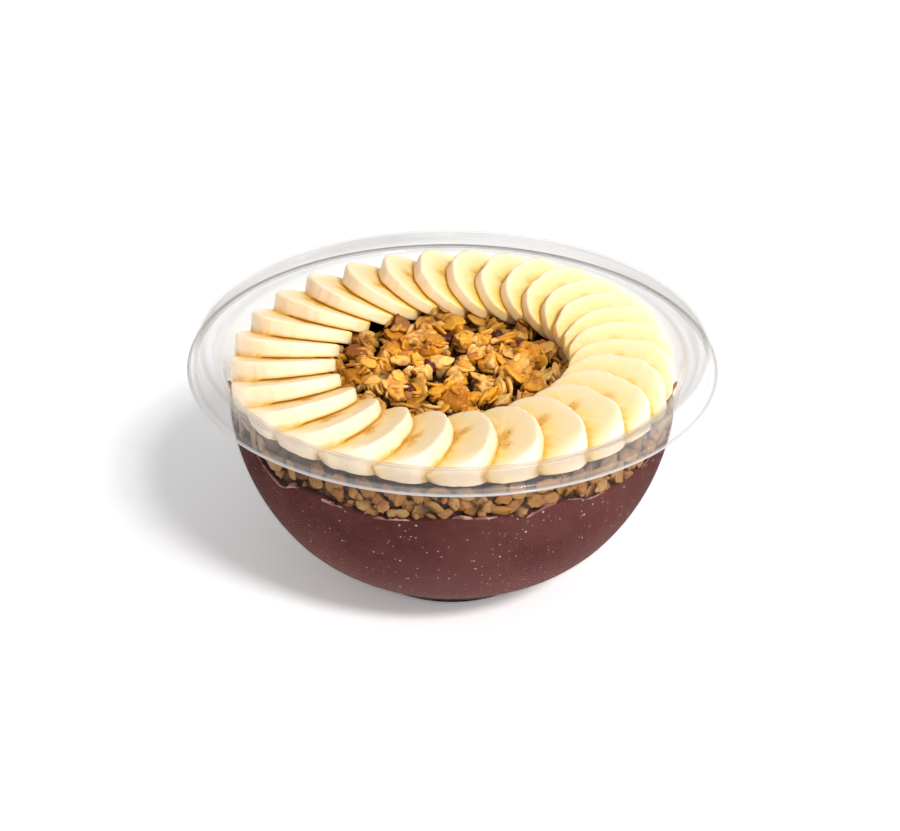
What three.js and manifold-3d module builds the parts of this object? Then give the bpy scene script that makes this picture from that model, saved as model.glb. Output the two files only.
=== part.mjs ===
// An acai bowl in a clear takeaway bowl with no lid: smooth acai up to three quarters of the height, a layer
// and a low heap of granola, and a ring of banana slices that lean on one another like fallen dominoes.
// Millimetres, +Z up. The origin is the centre of the flat base, on the table.

import * as THREE from 'three';
import { mergeVertices } from 'three/addons/utils/BufferGeometryUtils.js';
import Module from 'manifold-3d';

// ---------------------------------------------------------------- driving dimensions

const TURN = 2 * Math.PI;
const GOLDEN_ANGLE = Math.PI * (3 - Math.sqrt(5));
const SEGMENTS = 48; // flats round the bowl and what fills it
const GAP = 0.3; // air between one piece and the next
const WALL_GAP = 0.6; // a little more against the wall, whose flats cut inside the true curve

// Bowl: a thin formed shell, described by its outer face.
const WALL = 0.7;
const BODY_RADIUS = 68.4; // the body is most of a half sphere ...
const BODY_CENTRE = 62.4; // ... with its centre this high, cut off by the table
const BASE_RADIUS = Math.sqrt(BODY_RADIUS ** 2 - BODY_CENTRE ** 2);
const BASE_BEND = 1;
const BODY_TOP = 60; // above this the wall is straight
const BODY_STEPS = 7;
const SHOULDER_RADIUS = 70.5; // where the wall turns out into the ledge
const SHOULDER_HEIGHT = 73.2;
const CREST_RADIUS = 77.2; // raised bead that a lid would snap over
const CREST_HEIGHT = 77.5;
const SKIRT_RADIUS = 77.7;
const FLANGE_RADIUS = 80;
const FLANGE_HEIGHT = 70.2;
const RIM_BEND = 0.8; // how far each corner of the rim is cut back

// Acai.
const ACAI_LEVEL = 54.9;
const ACAI_WAVES = [[9, 1, 270], [4, 0.6, -33]]; // at the wall: times round, height, phase in degrees
const WAVES_FROM = 45; // the waves grow from this radius ...
const WAVES_FULL = 66; // ... to this one
const ACAI_SIDE_TOP = ACAI_LEVEL - 4; // below the lowest wave
const ACAI_STEPS = 6;

// Banana slices.
const SLICES = 28;
const SLICE_LENGTH = 32.4; // along the radius of the bowl
const SLICE_WIDTH = 25.8;
const SLICE_THICKNESS = 4.6; // in its middle ...
const SLICE_TAPER = 0.07; // ... and this much more for each millimetre outwards, as slices are cut askew
const SLICE_SIDES = 16;
const SLICE_EDGE = 0.5; // soft edge of the cut
const SLICE_UNEVEN = 0.02; // share by which lengths and widths vary
const SLICE_CORNERS = 0.012; // share by which the three soft corners stand out
const SLICE_GAP = 0.6;
const SLICE_FOOT = 60.6; // height of the low edge of each slice, on the granola
const RING_RADIUS = 51.4; // to the middle of a slice
const RING_SHIFT = 0.6; // the ring was laid a little off centre ...
const RING_SHIFT_TOWARDS = 130; // ... in this direction, degrees
const RING_START = -108; // azimuth of the first slice without the sway, degrees
const RING_SWAY = 8; // slices lie closer together on one side than on the other, degrees
const RING_SWAY_FROM = 4; // slice at which the sway is largest
const PARALLEL_AT = 180; // near this azimuth the slices lie parallel instead of fanning out
const PARALLEL_REACH = 32;
const PARALLEL_SHARE = 0.6;

// Granola.
const HEAP_TOP = 64.2; // bare core in the middle, under its loose top pieces
const HEAP_FALL = 2.5; // from the middle to the slices
const HEAP_LIMIT = 70; // no loose piece stands higher
const HEAP_RADIUS = 33.5;
const HEAP_PIECES = 126;
const HEAP_STAND = [0.8, 2.9]; // middle of a loose piece above the core
const HEAP_TILT = 0.85;
const EDGE_PIECES = 80;
const ACAI_CLEAR = 0.8; // least height of a loose piece over the acai
const EDGE_ROWS = [2.4, 5]; // middle of a piece above the acai, along the wall
const EDGE_SPREAD = 1.2;
const EDGE_INSET = 1; // from the wall to the middle of a piece
const EDGE_TILT = 0.35;
const BED_LEVEL = 60; // core under the ring of slices
const BED_RADIUS = 65;
const BED_GAP = 0.5; // under the slices
const BED_LIFT = 0.7; // over the waves of the acai
const CORE_INSET = 1.7; // the core stands back this far behind the pieces along the wall
const TOP_INSETS = [0, CORE_INSET, 8, 20]; // from the wall to the rings on top of the acai
const CORE_RINGS = [64, 60, 55, 45, 39, 35, 32, 15]; // distances from the middle of the ring of slices
const FLAKE = [8, 6, 1.6]; // rolled oat
const FLAKE_SIDES = 8;
const FLAKE_SHARE = 0.6;
const NUGGET = [6, 4.8, 4]; // baked cluster
const PIECE_UNEVEN = 0.14; // share by which outlines and sizes vary
const GRANOLA_SEED = 11;
const TRIES = 6; // a piece that touches something moves this many times before it is left out
const TRY_STEP = 0.4;

const COLOURS = { bowl: 0xeef2f4, acai: 0x6b4340, granola: 0xa8793f, banana: 0xf3dfa4 };
const ROUGHNESS = { bowl: 0.08, acai: 0.45, granola: 0.7, banana: 0.5 };

// ---------------------------------------------------------------- helpers

const rad = THREE.MathUtils.degToRad;

// Repeatable random numbers from 0 to 1.
function dice(seed) {
  let state = seed;
  return () => {
    state = (Math.imul(state, 1664525) + 1013904223) >>> 0;
    return state / 4294967296;
  };
}

const spread = (random, amount) => (2 * random() - 1) * amount;

// Closed skin over stacked rings of equal length, with a point below the first and above the last.
function skin(bottom, rings, top) {
  const sides = rings[0].length;
  const points = [bottom, ...rings.flat(), top];
  const last = points.length - 1;
  const index = [];
  for (let side = 0; side < sides; side++) {
    const next = (side + 1) % sides;
    index.push(0, 1 + next, 1 + side);
    for (let row = 0; row < rings.length - 1; row++) {
      const low = 1 + row * sides;
      const high = low + sides;
      index.push(low + side, low + next, high + next, low + side, high + next, high + side);
    }
    index.push(last - sides + side, last - sides + next, last);
  }
  const geometry = new THREE.BufferGeometry();
  geometry.setAttribute('position', new THREE.Float32BufferAttribute(points.flat(), 3));
  geometry.setIndex(index);
  return geometry;
}

// A ring about the bowl's axis: place(angle) gives its radius and height there.
function ringOf(place) {
  const ring = [];
  for (let step = 0; step < SEGMENTS; step++) {
    const angle = (step * TURN) / SEGMENTS;
    const [radius, height] = place(angle);
    ring.push([radius * Math.cos(angle), radius * Math.sin(angle), height]);
  }
  return ring;
}

function named(name, kind, geometry) {
  const finish = { color: COLOURS[kind], roughness: ROUGHNESS[kind], metalness: 0 };
  const mesh = new THREE.Mesh(geometry, new THREE.MeshStandardMaterial(finish));
  mesh.name = name;
  return mesh;
}

// ---------------------------------------------------------------- bowl

// The point a given distance from one [radius, height] point towards another.
function towards(from, to, distance) {
  const share = distance / Math.hypot(to[0] - from[0], to[1] - from[1]);
  return [from[0] + (to[0] - from[0]) * share, from[1] + (to[1] - from[1]) * share];
}

// Middle of the wall from the axis out over the base, up the body and over the rim.
function wallLine() {
  const half = WALL / 2;
  const radius = BODY_RADIUS - half;
  const line = [[0, half], [BASE_RADIUS - BASE_BEND, half]];
  const from = Math.asin((BASE_RADIUS + BASE_BEND) / radius);
  const to = Math.acos((BODY_CENTRE - BODY_TOP) / radius);
  for (let step = 0; step <= BODY_STEPS; step++) {
    const angle = from + ((to - from) * step) / BODY_STEPS;
    line.push([radius * Math.sin(angle), BODY_CENTRE - radius * Math.cos(angle)]);
  }
  const shoulder = [SHOULDER_RADIUS - half, SHOULDER_HEIGHT];
  const crest = [CREST_RADIUS, CREST_HEIGHT];
  const foot = [SKIRT_RADIUS - half, FLANGE_HEIGHT];
  const lip = [FLANGE_RADIUS, FLANGE_HEIGHT];
  const rim = [line.at(-1), shoulder, crest, foot, lip];
  for (let i = 1; i < rim.length - 1; i++) {
    line.push(towards(rim[i], rim[i - 1], RIM_BEND), towards(rim[i], rim[i + 1], RIM_BEND));
  }
  line.push(lip);
  return line;
}

// The line moved sideways, to the left of its direction where distance is positive.
function beside(line, distance) {
  return line.map((point, i) => {
    const before = line[Math.max(i - 1, 0)];
    const after = line[Math.min(i + 1, line.length - 1)];
    const normals = [[before, point], [point, after]]
      .filter(([a, b]) => a !== b)
      .map(([a, b]) => new THREE.Vector2(a[1] - b[1], b[0] - a[0]).normalize());
    const mean = normals.reduce((sum, normal) => sum.add(normal), new THREE.Vector2()).normalize();
    const stretch = distance / mean.dot(normals[0]);
    const radius = i === 0 ? 0 : point[0] + mean.x * stretch;
    return new THREE.Vector2(radius, point[1] + mean.y * stretch);
  });
}

function bowl() {
  const line = wallLine();
  const outside = beside(line, -WALL / 2);
  const inside = beside(line, WALL / 2).reverse();
  const geometry = new THREE.LatheGeometry([...outside, ...inside], SEGMENTS);
  geometry.rotateX(Math.PI / 2);
  return named('bowl', 'bowl', geometry);
}

// Radius of the space inside the wall at a height, less the gap to it.
function insideWall(height) {
  const bodyInside = BODY_RADIUS - WALL;
  if (height < BODY_TOP) return Math.sqrt(bodyInside ** 2 - (BODY_CENTRE - height) ** 2) - WALL_GAP;
  const low = Math.sqrt(bodyInside ** 2 - (BODY_CENTRE - BODY_TOP) ** 2);
  const climb = (height - BODY_TOP) / (SHOULDER_HEIGHT - BODY_TOP);
  return low + (SHOULDER_RADIUS - WALL - low) * climb - WALL_GAP;
}

// ---------------------------------------------------------------- acai

// Height of the acai: level in the middle, and in slow waves where it meets the wall.
function acaiTop(radius, angle) {
  const nearWall = THREE.MathUtils.smoothstep(radius, WAVES_FROM, WAVES_FULL);
  const waves = ACAI_WAVES.map(([count, height, phase]) => height * Math.cos(count * angle + rad(phase)));
  return ACAI_LEVEL - nearWall * waves.reduce((sum, wave) => sum + wave, 0);
}

// Rings on top of the acai, from just inside the wall to the middle; the granola lies on all but the first.
function acaiTopRings(lift) {
  return TOP_INSETS.map((inset) => ringOf((angle) => {
    const radius = insideWall(acaiTop(BODY_RADIUS, angle)) - inset;
    return [radius, acaiTop(radius, angle) + lift];
  }));
}

function acai() {
  const radius = BODY_RADIUS - WALL - WALL_GAP;
  const floor = WALL + GAP;
  const from = Math.acos((BODY_CENTRE - floor) / radius);
  const to = Math.acos((BODY_CENTRE - ACAI_SIDE_TOP) / radius);
  const rings = [];
  for (let step = 0; step <= ACAI_STEPS; step++) {
    const polar = from + ((to - from) * step) / ACAI_STEPS;
    rings.push(ringOf(() => [radius * Math.sin(polar), BODY_CENTRE - radius * Math.cos(polar)]));
  }
  return named('acai', 'acai', skin([0, 0, floor], [...rings, ...acaiTopRings(0)], [0, 0, ACAI_LEVEL]));
}

// ---------------------------------------------------------------- banana slices

// Azimuth of a slice about the middle of the ring, in radians; k may be a fraction.
function sliceAzimuth(k) {
  const sway = RING_SWAY * Math.cos((TURN * (k - RING_SWAY_FROM)) / SLICES);
  return rad(RING_START + (360 * k) / SLICES + sway);
}

// Angle between slice k and the next one.
const slicePitch = (k) => sliceAzimuth(k + 0.5) - sliceAzimuth(k - 0.5);

const thicknessAt = (distance) => SLICE_THICKNESS + SLICE_TAPER * (distance - RING_RADIUS);

// Lean of a slice at a distance from the middle of the ring. Each rests on the next all along its length, so
// it leans as much as their distance and thickness ask: more at its inner end than at its outer end.
function leanAt(distance, pitch) {
  return Math.asin((thicknessAt(distance) + SLICE_GAP) / (distance * pitch));
}

// A round slice with three soft corners and softened edges, twisted along its length by its lean.
function sliceShape(random, pitch) {
  const length = (SLICE_LENGTH / 2) * (1 + spread(random, SLICE_UNEVEN));
  const width = (SLICE_WIDTH / 2) * (1 + spread(random, SLICE_UNEVEN));
  const phase = random() * TURN;
  const ring = (side, inset) => {
    const points = [];
    for (let step = 0; step < SLICE_SIDES; step++) {
      const angle = (step * TURN) / SLICE_SIDES;
      const uneven = 1 + SLICE_CORNERS * (Math.cos(3 * angle + phase) - 1);
      const x = (length - inset) * uneven * Math.cos(angle);
      const y = (width - inset) * uneven * Math.sin(angle);
      const z = side * (thicknessAt(RING_RADIUS + x) / 2 - SLICE_EDGE + inset);
      const twist = leanAt(RING_RADIUS + x, pitch) - leanAt(RING_RADIUS, pitch);
      points.push([x, y * Math.cos(twist) - z * Math.sin(twist), y * Math.sin(twist) + z * Math.cos(twist)]);
    }
    return points;
  };
  const rings = [ring(-1, SLICE_EDGE), ring(-1, 0), ring(1, 0), ring(1, SLICE_EDGE)];
  return skin([0, 0, -SLICE_THICKNESS / 2], rings, [0, 0, SLICE_THICKNESS / 2]);
}

// Extra turn of a slice within its plane, which makes neighbours parallel near PARALLEL_AT.
function sliceTurn(azimuth) {
  const away = THREE.MathUtils.euclideanModulo(azimuth - rad(PARALLEL_AT) + Math.PI, TURN) - Math.PI;
  return -PARALLEL_SHARE * away * Math.exp(-((away / rad(PARALLEL_REACH)) ** 2));
}

function banana(k) {
  const azimuth = sliceAzimuth(k);
  const lean = leanAt(RING_RADIUS, slicePitch(k));
  const out = new THREE.Vector3(Math.cos(azimuth), Math.sin(azimuth), 0);
  const along = new THREE.Vector3(-Math.sin(azimuth), Math.cos(azimuth), 0);
  const up = new THREE.Vector3(0, 0, 1);
  const across = along.clone().multiplyScalar(Math.cos(lean)).addScaledVector(up, Math.sin(lean));
  const face = new THREE.Vector3().crossVectors(out, across);
  const name = `banana_${String(k + 1).padStart(2, '0')}`;
  const mesh = named(name, 'banana', sliceShape(dice(k + 1), slicePitch(k)));
  mesh.quaternion.setFromRotationMatrix(new THREE.Matrix4().makeBasis(out, across, face));
  mesh.rotateZ(sliceTurn(azimuth));
  mesh.position.copy(out).multiplyScalar(RING_RADIUS);
  mesh.position.x += RING_SHIFT * Math.cos(rad(RING_SHIFT_TOWARDS));
  mesh.position.y += RING_SHIFT * Math.sin(rad(RING_SHIFT_TOWARDS));
  mesh.position.z = SLICE_FOOT + (SLICE_WIDTH / 2) * Math.sin(lean) + (SLICE_THICKNESS / 2) * Math.cos(lean);
  return mesh;
}

// ---------------------------------------------------------------- granola

// Distance from the axis of the point at this angle that is a given distance from the middle of the ring.
function fromAxis(distance, angle) {
  return distance + RING_SHIFT * Math.cos(angle - rad(RING_SHIFT_TOWARDS));
}

// Lowest point of the slices here. Each stands on its low edge, so it lifts towards both ends, and least where
// the slices lie furthest apart and lean least.
function underSlices(radius, angle) {
  const fromMiddle = radius - fromAxis(RING_RADIUS, angle);
  const along = (2 * fromMiddle) / (SLICE_LENGTH * (1 + SLICE_UNEVEN));
  if (along < -1) return HEAP_LIMIT;
  const widest = slicePitch(RING_SWAY_FROM - SLICES / 4);
  const reachDown = (distance, halfWidth) => {
    const lean = leanAt(distance, widest);
    return halfWidth * Math.sin(lean) + (thicknessAt(distance) / 2) * Math.cos(lean);
  };
  const halfWidth = (SLICE_WIDTH / 2) * Math.sqrt(Math.max(1 - along ** 2, 0));
  return SLICE_FOOT + reachDown(RING_RADIUS, SLICE_WIDTH / 2) - reachDown(RING_RADIUS + fromMiddle, halfWidth);
}

// Bare core of the granola: a flat bed on the acai that rises to a low heap in the middle.
function coreTop(radius, angle) {
  const heap = HEAP_TOP - HEAP_FALL * (radius / HEAP_RADIUS) ** 2;
  return Math.min(Math.max(heap, BED_LEVEL), underSlices(radius, angle) - BED_GAP);
}

function granolaCore() {
  const [, ...bottoms] = acaiTopRings(BED_LIFT);
  const tops = CORE_RINGS.map((distance) => ringOf((angle) => {
    const radius = Math.min(fromAxis(distance, angle), BED_RADIUS);
    return [radius, coreTop(radius, angle)];
  }));
  return skin([0, 0, ACAI_LEVEL + BED_LIFT], [...bottoms.reverse(), ...tops], [0, 0, HEAP_TOP]);
}

// A rolled oat of unit size: a lens with a warped edge.
function flake(random) {
  const rim = [];
  for (let side = 0; side < FLAKE_SIDES; side++) {
    const angle = (side * TURN) / FLAKE_SIDES;
    const reach = 0.5 * (1 + spread(random, PIECE_UNEVEN));
    rim.push([reach * Math.cos(angle), reach * Math.sin(angle), spread(random, PIECE_UNEVEN)]);
  }
  return skin([0, 0, -0.5], [rim], [0, 0, 0.5]);
}

// A baked cluster of unit size: a rough twenty-sided lump.
function nugget(random) {
  const geometry = new THREE.IcosahedronGeometry(0.5, 0);
  geometry.deleteAttribute('normal');
  geometry.deleteAttribute('uv');
  const merged = mergeVertices(geometry);
  const corner = merged.getAttribute('position');
  for (let i = 0; i < corner.count; i++) {
    const grow = 1 + spread(random, PIECE_UNEVEN);
    corner.setXYZ(i, corner.getX(i) * grow, corner.getY(i) * grow, corner.getZ(i) * grow);
  }
  return merged;
}

// True where every corner of a loose piece is clear of the wall, the acai and the slices.
function isClear(shape) {
  const corner = shape.getAttribute('position');
  for (let i = 0; i < corner.count; i++) {
    const out = Math.hypot(corner.getX(i), corner.getY(i));
    const turn = Math.atan2(corner.getY(i), corner.getX(i));
    const height = corner.getZ(i);
    const above = height > acaiTop(out, turn) + ACAI_CLEAR;
    if (!above || out > insideWall(height) || height > underSlices(out, turn) - GAP) return false;
  }
  return true;
}

// One loose piece, turned at random and tilted by up to the given angle, lying flat or standing along the wall.
function granolaPiece(random, [radius, angle, height], tilt, stands) {
  const isFlake = random() < FLAKE_SHARE;
  const size = isFlake ? FLAKE : NUGGET;
  const shape = isFlake ? flake(random) : nugget(random);
  const scale = 1 + spread(random, PIECE_UNEVEN);
  shape.scale(size[0] * scale, size[1] * scale, size[2] * scale);
  shape.rotateZ(random() * TURN);
  shape.rotateX(spread(random, tilt));
  shape.rotateY(spread(random, tilt) + (stands ? Math.PI / 2 : 0));
  shape.rotateZ(angle);
  shape.translate(radius * Math.cos(angle), radius * Math.sin(angle), height);
  return shape;
}

// The first of several tries that touches nothing, or nothing at all.
function firstClear(makeTry) {
  for (let attempt = 0; attempt < TRIES; attempt++) {
    const shape = makeTry(attempt * TRY_STEP);
    if (isClear(shape)) return [shape];
  }
  return [];
}

// Places: a sunflower spiral over the heap, and staggered rows along the wall.
function granolaPieces() {
  const random = dice(GRANOLA_SEED);
  const pieces = [];
  for (let i = 0; i < HEAP_PIECES; i++) {
    const angle = i * GOLDEN_ANGLE;
    const radius = HEAP_RADIUS * Math.sqrt((i + 0.5) / HEAP_PIECES);
    pieces.push(...firstClear((back) => {
      const height = coreTop(radius, angle) + THREE.MathUtils.lerp(...HEAP_STAND, random()) - back;
      return granolaPiece(random, [radius - back, angle, height], HEAP_TILT, false);
    }));
  }
  for (let i = 0; i < EDGE_PIECES; i++) {
    const angle = (i * TURN) / EDGE_PIECES;
    pieces.push(...firstClear((back) => {
      const height = acaiTop(BODY_RADIUS, angle) + EDGE_ROWS[i % EDGE_ROWS.length] + random() * EDGE_SPREAD;
      return granolaPiece(random, [insideWall(height) - EDGE_INSET - back, angle, height], EDGE_TILT, true);
    }));
  }
  return pieces;
}

const wasm = await Module();
wasm.setup();

function toSolid(geometry) {
  geometry.deleteAttribute('normal');
  geometry.deleteAttribute('uv');
  const merged = mergeVertices(geometry);
  const vertProperties = new Float32Array(merged.getAttribute('position').array);
  const triVerts = new Uint32Array(merged.getIndex().array);
  return new wasm.Manifold(new wasm.Mesh({ numProp: 3, vertProperties, triVerts }));
}

// Core and loose pieces fused, less any scrap that touches nothing.
function granola() {
  let solid = toSolid(granolaCore());
  for (const piece of granolaPieces()) solid = solid.add(toSolid(piece));
  const [largest] = solid.decompose().sort((a, b) => b.volume() - a.volume());
  const mesh = largest.getMesh();
  const geometry = new THREE.BufferGeometry();
  geometry.setAttribute('position', new THREE.Float32BufferAttribute(mesh.vertProperties, 3));
  geometry.setIndex(Array.from(mesh.triVerts));
  return named('granola', 'granola', geometry);
}

// ---------------------------------------------------------------- the part

const part = new THREE.Group();
part.add(bowl(), acai(), granola());
for (let k = 0; k < SLICES; k++) part.add(banana(k));

export default part;
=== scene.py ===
# %% [markdown]
# # A clear bowl of acai, granola and banana
#
# The real thing is a thin, clear, vacuum formed bowl, filled with a thick brown purple
# puree. Toasted oat granola lies on the puree and shows through the wall above it, and
# 28 slices of banana lean on one another in a ring round a low heap of granola.
#
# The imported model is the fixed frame. Everything below is made around it, in metres, with
# the middle of the flat base at the origin and +Z up.

# %% Load the frame
import math
import random

import bmesh
import bpy
from mathutils import Matrix, Vector, noise
from mathutils.bvhtree import BVHTree


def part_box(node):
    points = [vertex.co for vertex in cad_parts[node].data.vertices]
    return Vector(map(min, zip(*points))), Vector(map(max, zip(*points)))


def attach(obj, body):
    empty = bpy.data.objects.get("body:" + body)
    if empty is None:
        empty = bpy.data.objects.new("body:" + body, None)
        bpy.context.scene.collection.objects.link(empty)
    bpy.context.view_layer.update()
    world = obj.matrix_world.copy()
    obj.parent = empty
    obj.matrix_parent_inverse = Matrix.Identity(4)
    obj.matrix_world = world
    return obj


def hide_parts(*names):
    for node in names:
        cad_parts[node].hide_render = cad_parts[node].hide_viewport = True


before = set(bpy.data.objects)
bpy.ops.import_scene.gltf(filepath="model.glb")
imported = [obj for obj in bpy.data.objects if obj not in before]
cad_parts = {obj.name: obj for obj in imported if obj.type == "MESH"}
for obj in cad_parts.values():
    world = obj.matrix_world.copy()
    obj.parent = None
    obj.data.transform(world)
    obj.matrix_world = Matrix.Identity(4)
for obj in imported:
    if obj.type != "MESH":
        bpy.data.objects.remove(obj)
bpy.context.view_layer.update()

MM = 0.001  # metres
TURN = 2 * math.pi
UP = Vector((0, 0, 1))
SLICES = sum(name.startswith("banana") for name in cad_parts)
print("banana slices in the frame:", SLICES)

# %% [markdown]
# ## Small tools
#
# Shapes are worked out in millimetres, because the sizes of food are easy to read that
# way, and one function turns them into Blender meshes in metres. A piece always rides on
# the part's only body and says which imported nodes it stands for.


# %% Turn points and faces into a piece of the part
def piece(name, points, faces, material, replaces=(), place=Matrix()):
    mesh = bpy.data.meshes.new(name)
    mesh.from_pydata([tuple(Vector(p) * MM) for p in points], [], faces)
    mesh.polygons.foreach_set("use_smooth", [True] * len(mesh.polygons))
    mesh.materials.append(material)
    mesh.update()
    obj = bpy.data.objects.new(name, mesh)
    bpy.context.scene.collection.objects.link(obj)
    obj.matrix_world = place
    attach(obj, "root")
    if replaces:
        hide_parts(*replaces)
    print(name, len(points), "points,", len(faces), "faces")
    return obj


# %% Give each point of a piece a number that its material can read
def paint(obj, name, values):
    layer = obj.data.attributes.new(name, "FLOAT", "POINT")
    layer.data.foreach_set("value", values)


# %% Angles, steps and bumps
def polar(radius, angle, height):
    return Vector((radius * math.cos(angle), radius * math.sin(angle), height))


def smoothstep(x, low, high):
    t = min(max((x - low) / (high - low), 0), 1)
    return t * t * (3 - 2 * t)


def wrapped(angle):
    return (angle + math.pi) % TURN - math.pi


def bumps(spot, layers):
    """Layers of noise added up. Each has its fineness and its height."""
    return sum(height * noise.noise(spot * fineness) for fineness, height in layers)


# %% Join rings of points into one closed body
def ring_faces(rings, segments, downwards=False):
    """Faces for a first point, rings of points that follow each other, and a last point."""
    faces = []
    last = rings * segments + 1
    for k in range(segments):
        after = (k + 1) % segments
        faces.append((0, 1 + after, 1 + k))
        faces.append((last, last - segments + k, last - segments + after))
        for ring in range(rings - 1):
            low = 1 + ring * segments
            high = low + segments
            faces.append((low + k, low + after, high + after, high + k))
    if downwards:
        faces = [face[:1] + face[:0:-1] for face in faces]
    return faces


# %% [markdown]
# ## Sizes of the bowl and its contents
#
# The bowl is a part of a ball with a small flat base. Above the ball's middle the wall
# flares a little to a shoulder, bends out and up to a crest, and drops as a skirt that
# ends in a thin flat flange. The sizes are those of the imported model, in millimetres.
# Pairs are a radius and a height.

# %% Sizes of the bowl
WALL = 0.7
BODY_RADIUS = 68.4
BODY_CENTRE = 62.4
FOOT_RADIUS = 29.8
FOOT_HEIGHT = 2.3
BALL_FROM = 14.6  # below this height the wall runs straight down to the foot
BODY_TOP = 60
SHOULDER = (70.15, 73.2)
CREST = (77.2, 77.15)
SKIRT_FOOT = (77.35, 70.2)
LIP = (79.7, 70.2)
RIM_BEND = 1.28

ACAI_LEVEL = 54.9
ACAI_SWELLS = (  # azimuth and half width in degrees, and how far the edge rises, in mm
    (-151, 7, 2.4), (-137, 5, -3.9), (-111, 13, -2.4), (-73, 4, -1.6), (-62, 5, 1.4),
    (-46, 9, -1.2), (-27, 8, 1.3), (10, 14, -1.5), (48, 10, 1.2), (95, 16, -1.4), (140, 12, 1.1))

bowl_low, bowl_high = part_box("bowl")
print("bowl", [round(v / MM, 1) for v in (bowl_high - bowl_low)], "mm")


# %% Where the wall is at a height, and where the acai ends along the wall
def inner_wall(height):
    if height < BODY_TOP:
        reach = BODY_RADIUS - WALL
        return math.sqrt(max(reach * reach - (BODY_CENTRE - height) ** 2, 0))
    at_top = math.sqrt((BODY_RADIUS - WALL) ** 2 - (BODY_CENTRE - BODY_TOP) ** 2)
    share = (height - BODY_TOP) / (SHOULDER[1] - BODY_TOP)
    return at_top + (SHOULDER[0] - WALL / 2 - at_top) * share


def acai_edge(angle):
    height = ACAI_LEVEL
    for azimuth, width, rise in ACAI_SWELLS:
        off = wrapped(angle - math.radians(azimuth)) / math.radians(width)
        height += rise * math.exp(-off * off)
    return height


# %% [markdown]
# ## Camera
#
# The bowl is seen from in front and a little above, so that the eye looks into it and
# through its front wall at once. A long lens at a short distance keeps the rim's ellipse
# close to what the eye sees at the table. The shift centres the bowl without tilting it.

# %% Camera
CAMERA_HEIGHT = math.radians(28.14)
CAMERA_DISTANCE = 0.6223
CAMERA_TARGET = Vector((0, 0, 0.070))
CAMERA_ROLL = math.radians(0.60)
LENS = 82.12
SENSOR_WIDTH = 36
FRAME_WIDTH = 900
TARGET_PIXEL = (452.6, 356.9)
FRAME_MIDDLE = (450, 415.5)

camera_data = bpy.data.cameras.new("camera")
camera_data.lens = LENS
camera_data.sensor_width = SENSOR_WIDTH
camera_data.shift_x = (FRAME_MIDDLE[0] - TARGET_PIXEL[0]) / FRAME_WIDTH
camera_data.shift_y = (TARGET_PIXEL[1] - FRAME_MIDDLE[1]) / FRAME_WIDTH
camera = bpy.data.objects.new("camera", camera_data)
away = Vector((0, -math.cos(CAMERA_HEIGHT), math.sin(CAMERA_HEIGHT)))
facing = (-away).to_track_quat("-Z", "Y").to_matrix().to_4x4()
roll = Matrix.Rotation(CAMERA_ROLL, 4, "Z")
camera.matrix_world = Matrix.Translation(CAMERA_TARGET + away * CAMERA_DISTANCE) @ facing @ roll
bpy.context.scene.collection.objects.link(camera)
bpy.context.scene.camera = camera
print("camera", CAMERA_DISTANCE, "m from the bowl")

# %% [markdown]
# ## Shader maths
#
# A material's pattern is written as ordinary sums. The class below wraps a socket, so
# that adding or multiplying two of them adds the Math node that does it. Colours are
# blended by a Mix node, and every other node comes from one method that takes its type,
# its settings and what goes into its sockets.


# %% A socket that can be used in sums
class Signal:
    def __init__(self, tree, socket):
        self.tree = tree
        self.socket = socket

    def math(self, operation, *values):
        node = self.tree.nodes.new("ShaderNodeMath")
        node.operation = operation
        for at, value in enumerate(values):
            connect(self.tree, node.inputs[at], value)
        return Signal(self.tree, node.outputs[0])

    def __add__(self, other):
        return self.math("ADD", self, other)

    def __sub__(self, other):
        return self.math("SUBTRACT", self, other)

    def __rsub__(self, other):
        return self.math("SUBTRACT", other, self)

    def __mul__(self, other):
        return self.math("MULTIPLY", self, other)

    def __truediv__(self, other):
        return self.math("DIVIDE", self, other)

    def __pow__(self, other):
        return self.math("POWER", self, other)

    __radd__ = __add__
    __rmul__ = __mul__

    def between(self, low, high):
        """0 below low, 1 above high, and a smooth step between them."""
        return self.tree.use_range(self, low, high)


def connect(tree, socket, value):
    if isinstance(value, Signal):
        tree.links.new(value.socket, socket)
    else:
        socket.default_value = value


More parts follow.
